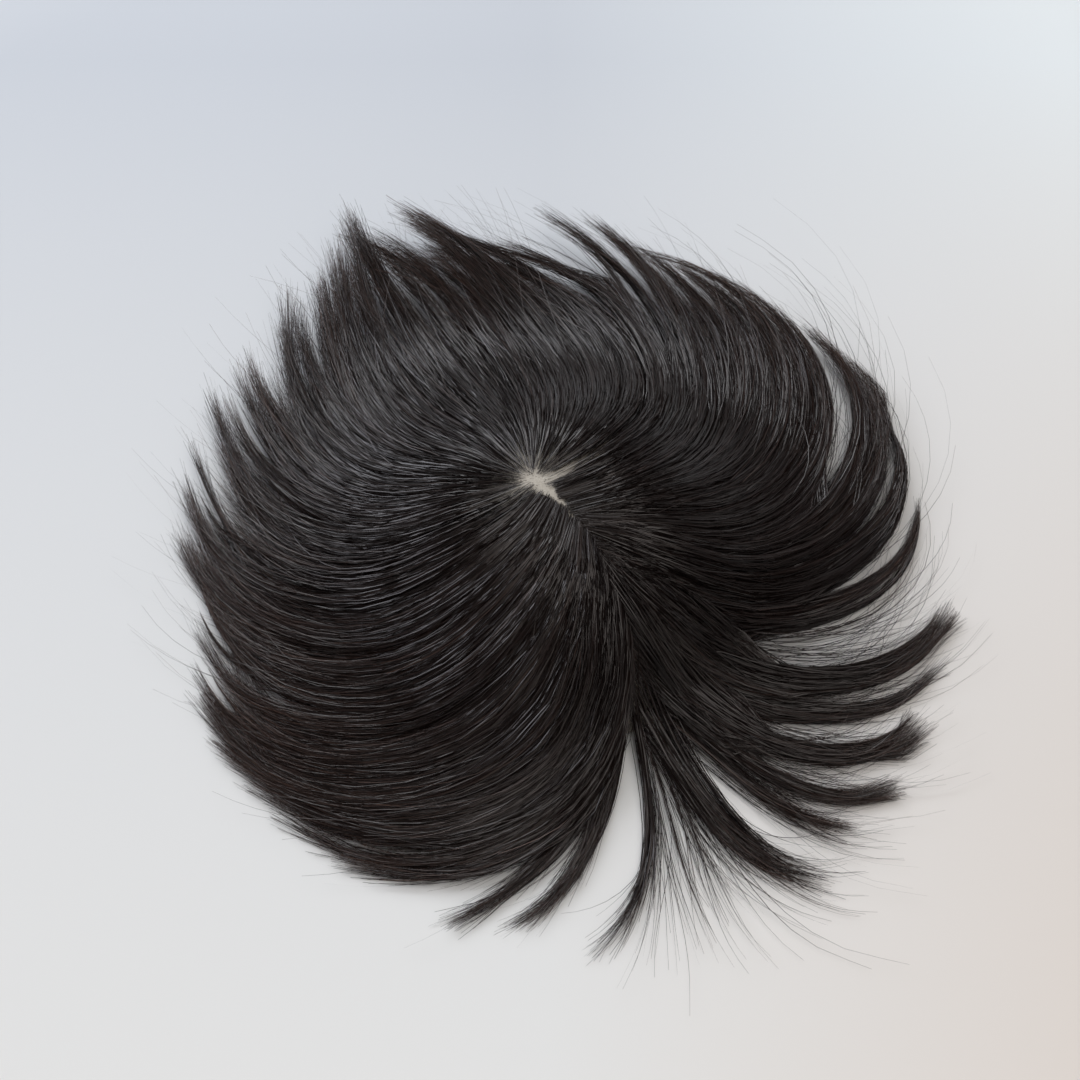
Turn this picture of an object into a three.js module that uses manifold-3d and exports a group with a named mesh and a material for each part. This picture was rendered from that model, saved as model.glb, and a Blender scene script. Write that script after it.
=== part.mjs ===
// A toupee hairpiece lying on a table: a shallow domed base cap, and the hair that is tied into it.
// The hair leaves the whorl and the parting, follows the dome, and lies on the table in curved locks.
// Units are millimetres, +Z is up, -Y is the front of the head, and the table is at z = 0.

import * as THREE from "three";
import { mergeVertices } from "three/addons/utils/BufferGeometryUtils.js";
import Module from "manifold-3d";

const wasm = await Module();
wasm.setup();

// Base cap: a thin domed sheet that the scalp goes under.
const CAP_WIDTH = 152;
const CAP_LENGTH = 162;
const CAP_HEIGHT = 42;
const CAP_WALL = 1.2;
const CAP_RIM_WIDTH = 2.4;
const CAP_RINGS = 6;
const CAP_SIDES = 28;

// Hair: how high it stands over the crown and at its ends, and how long, wide and deep its locks are.
const HAIR_OVER_CROWN = 4.5;
const HAIR_AT_ENDS = 2.5;
const HAIR_CLEARANCE = 0.4;
const SECTION_GAP = 0.4;
const GAP_OVERRUN = 8;
const BEDDING = 1;
const LOCK_LENGTH = 230;
const LOCK_WIDTH = 30;
const LOCK_DEPTH = 16;
const TIP_LIFT = 16;
const ROOT_WIDTH_AT_WHORL = 7;
const ROOT_WIDTH_ON_PARTING = 12;
const ROOT_DEPTH = 2;
const ROOT_RISE = 34;
const WHORL_RADIUS = 7;
const PARTING_SETBACK = 2;

// The hair's outer form falls from the crown like a bell. SHOULDER_SHARE is the distance from the
// crown, in cap radii, where half of its height is gone, and FALL is how sharply it goes.
const BACK_SHOULDER_SHARE = 0.95;
const FRONT_SHOULDER_SHARE = 0.82;
const FALL = 3.2;

// The lowest hair leaves the cap before its rim and springs down to the table: both in cap radii.
const SPRING_START_SHARE = 0.93;
const SPRING_END_SHARE = 1.4;

// Shape of one lock, in shares. It has its full width from GROWN_SHARE of its length on, and narrows
// to its tip from TAPER_SHARE on.
const GROWN_SHARE = 0.45;
const TAPER_SHARE = 0.6;
const TIP_THINNING_SHARE = 0.45;
const CROWNING_SHARE = 0.22;
const TIP_CROWNING_SHARE = 0.7;

// Faceting of a lock: stations along it, and where its top and its underside have points across it.
const LOCK_STATIONS = 11;
const STEPS_PER_STATION = 6;
const TOP_POINTS = [1, 0.5, 0, -0.5, -1];
const UNDER_POINTS = [-1, 0, 1];

// The parting runs from the whorl to the front edge. Each point is a share of the cap's half sizes,
// measured from the cap's centre.
const PARTING = {
  whorl: { across: -0.13, along: 0.19 },
  bend: { across: 0.37, along: -0.31 },
  front: { across: 0.34, along: -0.88 },
};

// The locks, section by section, anticlockwise from the front. `side` is the side of the parting
// that a section is on. `parting` is how far along the parting a lock's root is. `start`, `middle` and
// `end` are headings in degrees, anticlockwise from +X. `length`, `width` and `lift` are shares of
// LOCK_LENGTH, LOCK_WIDTH and TIP_LIFT. `depth` is a share of the hair's depth there, and `tip` is the
// share of the lock's width that its tip keeps.
const COLUMNS = ["parting", "start", "middle", "end", "length", "width", "depth", "tip", "lift"];
const SECTIONS = [
  {
    name: "fringe_hair",
    side: "right",
    colour: 0x1d1716,
    locks: [
      [0.98,  290,  260,  205, 0.45, 0.17, 0.25,  0.3,    0],
      [   1,  298,  272,  262, 0.37, 0.14,  0.2,  0.3,    0],
      [0.99,  313,  284,  305, 0.39, 0.18,  0.2,  0.3,    0],
      [0.96,  315,  315,  368, 0.45, 0.36,  0.4, 0.35,    0],
    ],
  },
  {
    name: "front_right_hair",
    side: "right",
    colour: 0x201918,
    locks: [
      [0.92,  -17,  -42,    9, 0.43,  0.2,  0.3,  0.3,    0],
      [0.88,  -19,  -37,   22, 0.45, 0.34,  0.5,  0.4,    0],
      [0.84,  -19,  -22,   46,  0.5, 0.64,  0.7,  0.5,    0],
      [0.78,  -12,  -11,   46, 0.54, 0.24,  0.4,  0.3,    0],
      [ 0.7,   -7,   -3,   62, 0.61, 0.72,  0.7, 0.35,    0],
    ],
  },
  {
    name: "right_hair",
    side: "right",
    colour: 0x231c1b,
    locks: [
      [ 0.6,    5,   17,  104, 0.74,  0.5,  0.6,  0.3,    0],
      [0.48,    1,   44,  135, 0.94,  0.9,    1,  0.3, 0.25],
      [0.35,    3,   61,  151,    1,  0.9,    1,  0.3,  0.4],
      [0.22,   10,   73,  166, 1.01, 0.95,    1,  0.3,  0.5],
      [0.15,    7,   82,  128, 0.88, 0.75,    1,  0.3,  0.6],
    ],
  },
  {
    name: "back_hair",
    side: "right",
    colour: 0x262022,
    locks: [
      [ 0.1,    9,   91,  138, 0.97, 0.85,    1,  0.2, 0.75],
      [   0,   18,  112,  183, 1.01,  0.9,    1, 0.25,  0.6],
      [   0,   45,  114,  152, 0.84, 0.85,    1, 0.25,  0.9],
      [   0,   71,  112,  146, 0.76,  0.8,    1, 0.25,    1],
      [   0,   94,  117,  155, 0.77,  0.8,    1,  0.3, 0.75],
    ],
  },
  {
    name: "back_left_hair",
    side: "left",
    colour: 0x242021,
    locks: [
      [   0,  115,  120,  118, 0.79, 0.75,    1,  0.3,    1],
      [   0,  137,  118,  106,  0.8,  0.7,    1,  0.3,  0.8],
      [   0,  160,  117,  108,  0.8, 0.75,    1,  0.4, 0.75],
      [   0,  175,  123,   98,  0.8, 0.85,    1,  0.4,  0.6],
      [   0,  195,  137,  111, 0.73,  0.9,    1, 0.45,  0.5],
    ],
  },
  {
    name: "left_hair",
    side: "left",
    colour: 0x221c1d,
    locks: [
      [   0,  213,  147,  127, 0.71,  0.9,    1, 0.45,  0.4],
      [   0,  233,  153,  124, 0.77,  0.9,    1, 0.45, 0.25],
      [0.05,  249,  166,  120, 0.83, 0.95,    1, 0.45,  0.2],
      [0.12,  257,  174,  114,  0.9, 0.95,    1,  0.4,    0],
      [ 0.2,  260,  183,  112,  0.9, 0.95,    1,  0.3,    0],
    ],
  },
  {
    name: "front_left_hair",
    side: "left",
    colour: 0x1f1918,
    locks: [
      [ 0.3,  263,  191,  113, 0.94, 0.92,    1,  0.3,    0],
      [ 0.4,  267,  197,  127, 0.91,  0.9,    1,  0.3,    0],
      [ 0.5,  276,  199,  136, 0.89,  0.9,    1,  0.3,    0],
      [0.62,  278,  203,  140, 0.82,  0.9,    1,  0.3,    0],
      [ 0.8,  270,  211,  154, 0.68,  0.9, 0.85,  0.4,    0],
      [ 0.9,  263,  233,  204,  0.5, 0.28,  0.4,  0.4,    0],
      [0.96,  262,  243,  192, 0.46, 0.24, 0.35,  0.3,    0],
    ],
  },
];

const sections = SECTIONS.map((section) => ({
  ...section,
  locks: section.locks.map((row) => Object.fromEntries(COLUMNS.map((name, k) => [name, row[k]]))),
}));

const radians = THREE.MathUtils.degToRad;
const mix = THREE.MathUtils.lerp;
const ease = (value, from, to) => THREE.MathUtils.smoothstep(value, from, to);

// Distance from the cap's centre in cap radii: 1 at the rim.
function capRadius(x, y) {
  return Math.hypot(x / (CAP_WIDTH / 2), y / (CAP_LENGTH / 2));
}

// Height of a round dome of this rim radius and rise, at a distance from its centre.
function domeHeight(distance, rimRadius, rise) {
  const sphere = (rimRadius ** 2 + rise ** 2) / (2 * rise);
  return Math.sqrt(Math.max(0, sphere ** 2 - distance ** 2)) - (sphere - rise);
}

// Height of the lowest hair: on the cap, and from SPRING_START_SHARE on a curve down to the table.
function lowestHair(radius) {
  const onCap = Math.min(radius, SPRING_START_SHARE) * (CAP_WIDTH / 2);
  const seat = domeHeight(onCap, CAP_WIDTH / 2, CAP_HEIGHT);
  const reach = SPRING_END_SHARE - SPRING_START_SHARE;
  const sprung = THREE.MathUtils.clamp((radius - SPRING_START_SHARE) / reach, 0, 1);
  return seat * (1 - sprung) ** 2;
}

// The outer form of the whole hair, before it is divided into locks.
function hairTop(x, y) {
  const shoulder = mix(BACK_SHOULDER_SHARE, FRONT_SHOULDER_SHARE, ease(-y / (CAP_LENGTH / 2), 0.2, 1));
  const bell = 1 / (1 + (capRadius(x, y) / shoulder) ** FALL);
  return mix(HAIR_AT_ENDS, CAP_HEIGHT + HAIR_OVER_CROWN, bell);
}

function partingPoint(share) {
  const place = ({ across, along }) =>
    new THREE.Vector2((across * CAP_WIDTH) / 2, (along * CAP_LENGTH) / 2);
  const curve = new THREE.QuadraticBezierCurve(
    place(PARTING.whorl),
    place(PARTING.bend),
    place(PARTING.front),
  );
  return curve.getPoint(share);
}

// The heading passes through the lock's start, middle and end values as a smooth curve.
function headingAt(lock, share) {
  return radians(
    lock.start * (1 - share) * (1 - 2 * share) +
      lock.middle * 4 * share * (1 - share) +
      lock.end * share * (2 * share - 1),
  );
}

// Stations along a lock in plan, from its root to its tip.
function lockPath(lock) {
  const heading = headingAt(lock, 0);
  const point = partingPoint(lock.parting);
  const setback = lock.parting > 0 ? PARTING_SETBACK : WHORL_RADIUS;
  point.x += setback * Math.cos(heading);
  point.y += setback * Math.sin(heading);
  const steps = (LOCK_STATIONS - 1) * STEPS_PER_STATION;
  const stride = (lock.length * LOCK_LENGTH) / steps;
  const stations = [{ x: point.x, y: point.y, heading, share: 0 }];
  for (let step = 1; step <= steps; step++) {
    const way = headingAt(lock, (step - 0.5) / steps);
    point.x += stride * Math.cos(way);
    point.y += stride * Math.sin(way);
    if (step % STEPS_PER_STATION === 0) {
      const share = step / steps;
      stations.push({ x: point.x, y: point.y, heading: headingAt(lock, share), share });
    }
  }
  return stations;
}

// Underside and top of a lock at a place in plan. On the cap the underside is BEDDING deep in the
// seat that is cut out of it later.
function lockHeights(lock, x, y, share, side) {
  const lowest = lowestHair(capRadius(x, y));
  const highest = mix(lowest, hairTop(x, y), lock.depth);
  const under = Math.max(lowest, highest - lock.depth * LOCK_DEPTH);
  const grown = ease(share * lock.length * LOCK_LENGTH, 0, ROOT_RISE);
  const thinned = 1 - TIP_THINNING_SHARE * ease(share, TAPER_SHARE, 1);
  const depth = mix(ROOT_DEPTH, Math.max(ROOT_DEPTH, highest - under), grown) * thinned;
  const crowning = mix(CROWNING_SHARE, TIP_CROWNING_SHARE, ease(share, GROWN_SHARE, 1));
  const bedding = capRadius(x, y) < SPRING_START_SHARE ? BEDDING : 0;
  const lift = lock.lift * TIP_LIFT * ease(share, 0.5, 1);
  return { under: under - bedding + lift, top: under + lift + depth * (1 - crowning * side ** 2) };
}

function lockHalfWidth(lock, share) {
  const full = lock.width * LOCK_WIDTH;
  const root = lock.parting > 0 ? ROOT_WIDTH_ON_PARTING : ROOT_WIDTH_AT_WHORL;
  const grown = Math.sin((Math.min(1, share / GROWN_SHARE) * Math.PI) / 2);
  const width = mix(Math.min(root, full), full, grown);
  return (width * mix(1, lock.tip, ease(share, TAPER_SHARE, 1))) / 2;
}

// One closed ring of points at each station, over the top and back along the underside.
function lockGeometry(lock) {
  const rings = lockPath(lock).map(({ x, y, heading, share }) => {
    const halfWidth = lockHalfWidth(lock, share);
    const point = (side, edge) => {
      const px = x - side * halfWidth * Math.sin(heading);
      const py = y + side * halfWidth * Math.cos(heading);
      return [px, py, lockHeights(lock, px, py, share, side)[edge]];
    };
    return [
      ...TOP_POINTS.map((side) => point(side, "top")),
      ...UNDER_POINTS.map((side) => point(side, "under")),
    ];
  });
  return skinGeometry(rings);
}

// A closed skin over rings of points, with a fan of faces over each end.
function skinGeometry(rings) {
  const count = rings[0].length;
  const last = (rings.length - 1) * count;
  const faces = [];
  for (let ring = 0; ring < rings.length - 1; ring++) {
    for (let k = 0; k < count; k++) {
      const a = ring * count + k;
      const b = ring * count + ((k + 1) % count);
      faces.push(a, b, b + count, a, b + count, a + count);
    }
  }
  for (let k = 1; k < count - 1; k++) {
    faces.push(0, k + 1, k, last, last + k, last + k + 1);
  }
  const geometry = new THREE.BufferGeometry();
  geometry.setAttribute("position", new THREE.Float32BufferAttribute(rings.flat(2), 3));
  geometry.setIndex(faces);
  return geometry;
}

function solidOf(geometry) {
  const bare = geometry.clone();
  bare.deleteAttribute("normal");
  bare.deleteAttribute("uv");
  const merged = mergeVertices(bare, 1e-4);
  return new wasm.Manifold(
    new wasm.Mesh({
      numProp: 3,
      vertProperties: new Float32Array(merged.attributes.position.array),
      triVerts: new Uint32Array(merged.index.array),
    }),
  );
}

function geometryOf(solid) {
  const { vertProperties, triVerts } = solid.getMesh();
  const geometry = new THREE.BufferGeometry();
  geometry.setAttribute("position", new THREE.Float32BufferAttribute(vertProperties, 3));
  geometry.setIndex(Array.from(triVerts));
  geometry.computeVertexNormals();
  return geometry;
}

// The line between two neighbouring locks is a lock path with the mean of their values. Headings that
// are a turn apart are brought together first.
function dividingPath(one, other) {
  const mean = {};
  for (const key of ["parting", "length", "start", "middle", "end"]) {
    const turns = Math.round((one[key] - other[key]) / 360);
    mean[key] = (one[key] + other[key] + 360 * turns) / 2;
  }
  return lockPath(mean);
}

// The parting, and on from its front end the line between the locks on either side of it.
function partingPath(left, right) {
  const pieces = 8;
  const stations = [];
  for (let k = 0; k < pieces; k++) {
    const here = partingPoint(k / pieces);
    const next = partingPoint((k + 1) / pieces);
    stations.push({ x: here.x, y: here.y, heading: Math.atan2(next.y - here.y, next.x - here.x) });
  }
  return [...stations, ...dividingPath(left, right)];
}

// A block of hair's full height beside a path, LOCK_WIDTH wide: side is 1 for the path's left, -1 for
// its right. It starts before the path's root, ends GAP_OVERRUN past its tip, and reaches half of
// SECTION_GAP over it.
function blockBeside(path, side) {
  const shifted = (station, distance) => ({
    ...station,
    x: station.x + distance * Math.cos(station.heading),
    y: station.y + distance * Math.sin(station.heading),
  });
  const whole = [shifted(path[0], -ROOT_WIDTH_AT_WHORL), ...path, shifted(path.at(-1), GAP_OVERRUN)];
  const beside = (station, distance) =>
    new THREE.Vector2(
      station.x - side * distance * Math.sin(station.heading),
      station.y + side * distance * Math.cos(station.heading),
    );
  const near = whole.map((station) => beside(station, -SECTION_GAP / 2));
  const far = whole.map((station) => beside(station, LOCK_WIDTH)).reverse();
  const depth = 2 * (CAP_HEIGHT + HAIR_OVER_CROWN);
  const outline = new THREE.Shape([...near, ...far]);
  const block = new THREE.ExtrudeGeometry(outline, { depth, bevelEnabled: false });
  block.translate(0, 0, -depth / 4);
  return solidOf(block);
}

// Points of a round dome's profile, from its crown to its rim.
function domeProfile(rimRadius, rise) {
  const points = [];
  for (let ring = 0; ring <= CAP_RINGS; ring++) {
    const radius = (rimRadius * ring) / CAP_RINGS;
    points.push(new THREE.Vector2(radius, domeHeight(radius, rimRadius, rise)));
  }
  return points;
}

// A profile turned about the crown and stretched to the cap's oval.
function ovalGeometry(profile) {
  const oval = new THREE.LatheGeometry(profile, CAP_SIDES);
  oval.rotateX(Math.PI / 2);
  oval.scale(1, CAP_LENGTH / CAP_WIDTH, 1);
  return oval;
}

function baseCapGeometry() {
  const inside = domeProfile(CAP_WIDTH / 2 - CAP_RIM_WIDTH, CAP_HEIGHT - CAP_WALL);
  const outside = domeProfile(CAP_WIDTH / 2, CAP_HEIGHT);
  return ovalGeometry([...inside, ...outside.reverse()]);
}

// What the hair is seated on: the cap's outside grown by the clearance, solid down to under the table.
function seatGeometry() {
  const outside = domeProfile(CAP_WIDTH / 2 + HAIR_CLEARANCE, CAP_HEIGHT + HAIR_CLEARANCE);
  const below = -CAP_HEIGHT / 2;
  const rim = outside.at(-1).x;
  return ovalGeometry([new THREE.Vector2(0, below), new THREE.Vector2(rim, below), ...outside.reverse()]);
}

function namedMesh(name, geometry, colour, roughness) {
  const material = new THREE.MeshStandardMaterial({ color: colour, roughness, metalness: 0 });
  const mesh = new THREE.Mesh(geometry, material);
  mesh.name = name;
  return mesh;
}

const parting = partingPath(sections.at(-1).locks.at(-1), sections[0].locks[0]);
const otherSide = { right: blockBeside(parting, -1), left: blockBeside(parting, 1) };
const seat = solidOf(seatGeometry());

// A section's locks joined, seated on the cap, and parted from the sections beside it.
function sectionSolid(section, before, after) {
  const solids = section.locks.map((lock) => solidOf(lockGeometry(lock)));
  let hair = solids.reduce((whole, next) => whole.add(next)).subtract(seat);
  if (before) {
    const line = dividingPath(before.locks.at(-1), section.locks[0]);
    hair = hair.subtract(blockBeside(line, -1));
  }
  if (after) {
    const line = dividingPath(section.locks.at(-1), after.locks[0]);
    hair = hair.subtract(blockBeside(line, 1));
  }
  return hair.subtract(otherSide[section.side]);
}

const toupee = new THREE.Group();
toupee.add(namedMesh("base_cap", baseCapGeometry(), 0xb9ab98, 0.9));
sections.forEach((section, index) => {
  const solid = sectionSolid(section, sections[index - 1], sections[index + 1]);
  toupee.add(namedMesh(section.name, geometryOf(solid), section.colour, 0.45));
});

// The origin is on the table under the middle of the whole hairpiece.
const extent = new THREE.Box3().setFromObject(toupee);
toupee.position.set(-(extent.min.x + extent.max.x) / 2, -(extent.min.y + extent.max.y) / 2, 0);

export default toupee;
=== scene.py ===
# %% [markdown]
# # A toupee hairpiece, lying on a table
# The real piece is a thin domed base of lace and film with long human hair knotted into it. The hair
# swirls out from a whorl and from a parting, follows the dome, and lies fanned out on the table.
# The solids of the frame give its form. This lesson grows the hair itself in that form.
# The frame is loaded first, and its box is kept, so that the finished hair can be held against it.

# %% Load the frame
import math

import bpy
import numpy as np
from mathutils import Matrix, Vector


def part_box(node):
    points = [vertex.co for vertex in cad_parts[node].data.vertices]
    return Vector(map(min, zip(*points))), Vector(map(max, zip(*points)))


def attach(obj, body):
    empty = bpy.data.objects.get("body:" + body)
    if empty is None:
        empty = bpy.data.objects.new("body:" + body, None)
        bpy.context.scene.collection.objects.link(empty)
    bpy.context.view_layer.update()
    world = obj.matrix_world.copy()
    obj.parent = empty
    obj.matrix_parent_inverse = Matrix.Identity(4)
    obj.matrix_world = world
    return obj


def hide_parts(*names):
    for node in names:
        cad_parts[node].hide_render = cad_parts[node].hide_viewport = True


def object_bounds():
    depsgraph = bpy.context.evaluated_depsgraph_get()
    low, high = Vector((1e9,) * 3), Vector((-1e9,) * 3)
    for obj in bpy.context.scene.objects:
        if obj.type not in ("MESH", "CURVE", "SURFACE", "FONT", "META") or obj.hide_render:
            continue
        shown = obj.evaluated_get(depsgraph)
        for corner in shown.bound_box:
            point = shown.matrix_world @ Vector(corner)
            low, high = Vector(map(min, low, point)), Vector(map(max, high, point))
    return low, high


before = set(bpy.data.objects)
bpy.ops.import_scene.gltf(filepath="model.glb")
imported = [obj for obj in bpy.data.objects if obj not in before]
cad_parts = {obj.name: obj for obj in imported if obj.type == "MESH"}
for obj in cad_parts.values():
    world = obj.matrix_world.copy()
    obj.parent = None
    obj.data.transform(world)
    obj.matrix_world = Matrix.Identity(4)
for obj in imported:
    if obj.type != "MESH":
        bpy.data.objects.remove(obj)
cad_box = [list(corner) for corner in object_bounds()]
cap_low, cap_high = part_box("base_cap")
cap_middle = (cap_low + cap_high) / 2
print("nodes:", sorted(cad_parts))
print("CAD box in mm:", np.round(np.array(cad_box) * 1000, 1).tolist())

# %% [markdown]
# ## The camera
# The piece is looked down on from the front, at 58 degrees above the table and from half a metre away.
# An object as close as that is drawn with clear perspective, so the lens and the distance matter as
# much as the angle does. A sensor 36 mm wide and square makes the field of view easy to work out.

# %% Place the camera
CAMERA_TARGET = (-0.00328, -0.00899, 0.012)
CAMERA_DISTANCE = 0.52
CAMERA_ELEVATION = math.radians(58)
SENSOR = 36.0
FOCAL_IN_PIXELS, FRAME_IN_PIXELS = 1300, 1080
LENS = FOCAL_IN_PIXELS / FRAME_IN_PIXELS * SENSOR

lens = bpy.data.cameras.new("camera")
lens.sensor_fit = "AUTO"
lens.sensor_width = SENSOR
lens.lens = LENS
lens.clip_start = 0.01
camera = bpy.data.objects.new("camera", lens)
bpy.context.scene.collection.objects.link(camera)
camera.location = (
    CAMERA_TARGET[0],
    CAMERA_TARGET[1] - CAMERA_DISTANCE * math.cos(CAMERA_ELEVATION),
    CAMERA_TARGET[2] + CAMERA_DISTANCE * math.sin(CAMERA_ELEVATION),
)
camera.rotation_euler = (math.pi / 2 - CAMERA_ELEVATION, 0, 0)
bpy.context.scene.camera = camera
print("camera at", [round(v, 3) for v in camera.location], "lens", round(LENS, 1), "mm")

# %% [markdown]
# ## Writing shader maths as expressions
# Shader nodes can be added by hand in the editor, but a formula is easier to read as a formula. The
# class below wraps the output of a node. Adding, multiplying and so on then adds a Math node, and one
# method adds any other node from its type, its settings and what goes into its sockets.

# %% A small class for shader sockets
class Wire:
    """The output of a shader node, which can be used in sums."""

    def __init__(self, material, socket):
        self.material = material
        self.socket = socket

    def sum_with(self, operation, *values):
        return node(self.material, "ShaderNodeMath", {"operation": operation}, dict(enumerate(values)))

    def __add__(self, other):
        return self.sum_with("ADD", self, other)

    def __radd__(self, other):
        return self.sum_with("ADD", other, self)

    def __sub__(self, other):
        return self.sum_with("SUBTRACT", self, other)

    def __rsub__(self, other):
        return self.sum_with("SUBTRACT", other, self)

    def __mul__(self, other):
        return self.sum_with("MULTIPLY", self, other)

    def __rmul__(self, other):
        return self.sum_with("MULTIPLY", other, self)

    def __pow__(self, other):
        return self.sum_with("POWER", self, other)


def node(material, kind, settings=None, inputs=None, output=0):
    """Adds a node: first its settings, such as a ramp's stops, then what goes into its sockets."""
    tree = material.node_tree
    made = tree.nodes.new(kind)
    for name, value in (settings or {}).items():
        if name == "stops":
            ramp = made.color_ramp.elements
            for index, (place, colour) in enumerate(value):
                stop = ramp[index] if index < 2 else ramp.new(place)
                stop.position, stop.color = place, (*colour, 1)
        else:
            setattr(made, name, value)
    for name, value in (inputs or {}).items():
        if isinstance(value, Wire):
            tree.links.new(value.socket, made.inputs[name])
        else:
            made.inputs[name].default_value = value
    return Wire(material, made.outputs[output])


def blend(material, share, one, other):
    """A colour that goes from one to other as share goes from 0 to 1."""
    settings = {"data_type": "RGBA"}
    return node(material, "ShaderNodeMix", settings, {0: share, 6: one, 7: other}, output=2)


def remap(material, value, start, end, low, high):
    """A number that goes from low to high as value goes from start to end."""
    return node(material, "ShaderNodeMapRange", {}, {0: value, 1: start, 2: end, 3: low, 4: high})


def finish(name, constants, varying):
    """A material with one Principled shader: constants on its sockets, and links from varying."""
    material = bpy.data.materials.new(name)
    material.use_nodes = True
    shader = material.node_tree.nodes["Principled BSDF"]
    for socket, value in constants.items():
        shader.inputs[socket].default_value = value
    for socket, wire in varying(material).items():
        material.node_tree.links.new(wire.socket, shader.inputs[socket])
    return material


print("shader helpers are ready")

# %% [markdown]
# ## The form of the hair
# Every lock leaves the parting, turns as it goes, and lies down on the table. Its path in plan is given
# by three headings: at its start, half way and at its end. Curves drawn by hand would also do, but
# with headings a whole head of hair is one short table, and a hair between two locks is simply the
# mean of their rows. The heights follow from the cap: the lowest hair lies on it and springs down to
# the table past its rim, and the highest follows a bell over the crown.

# %% The cap and the outer form of the hair, in metres
CAP_WIDTH, CAP_LENGTH, CAP_HEIGHT = 0.152, 0.162, 0.042
HAIR_OVER_CROWN, HAIR_AT_ENDS, HAIR_CLEARANCE = 0.0045, 0.0025, 0.0004
SHOULDER_BEHIND, SHOULDER_IN_FRONT, FALL = 0.95, 0.82, 3.2
SPRING_START, SPRING_END = 0.93, 1.4
PARTING = np.array([(-0.13, 0.19), (0.37, -0.31), (0.34, -0.88)])


def mix(one, other, share):
    return one + (other - one) * share


def ease(value, start, end):
    share = np.clip((value - start) / (end - start), 0, 1)
    return share * share * (3 - 2 * share)


def cap_radius(x, y):
    """Distance from the cap's centre in cap radii: 1 at the rim."""
    return np.hypot(x / (CAP_WIDTH / 2), y / (CAP_LENGTH / 2))


def dome_height(distance, rim_radius, rise):
    sphere = (rim_radius**2 + rise**2) / (2 * rise)
    return np.sqrt(np.maximum(0, sphere**2 - distance**2)) - (sphere - rise)


def lowest_hair(radius):
    on_cap = np.minimum(radius, SPRING_START) * (CAP_WIDTH / 2)
    seat = dome_height(on_cap, CAP_WIDTH / 2, CAP_HEIGHT) + HAIR_CLEARANCE
    sprung = np.clip((radius - SPRING_START) / (SPRING_END - SPRING_START), 0, 1)
    return seat * (1 - sprung) ** 2


def highest_hair(x, y):
    shoulder = mix(SHOULDER_BEHIND, SHOULDER_IN_FRONT, ease(-y / (CAP_LENGTH / 2), 0.2, 1))
    bell = 1 / (1 + (cap_radius(x, y) / shoulder) ** FALL)
    return mix(HAIR_AT_ENDS, CAP_HEIGHT + HAIR_OVER_CROWN, bell)


def parting_point(share):
    whorl, bend, front = PARTING * (CAP_WIDTH / 2, CAP_LENGTH / 2)
    share = np.asarray(share)[..., None]
    return whorl * (1 - share) ** 2 + bend * 2 * share * (1 - share) + front * share**2


print("parting in mm, whorl to front:", np.round(parting_point([0, 0.5, 1]) * 1000).tolist())

# %% [markdown]
# ## The locks
# One row a lock, anticlockwise from the fringe. `parting` is how far along the parting its root is, the
# headings are in degrees from the wearer's left, and the lengths, widths and lifts are shares of the
# largest ones. `mingle` says how far its hair strays towards the neighbouring locks, in locks: the
# fringe stands in separate locks, and the rest is one field. `fullness` is how dense its hair is.

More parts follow.
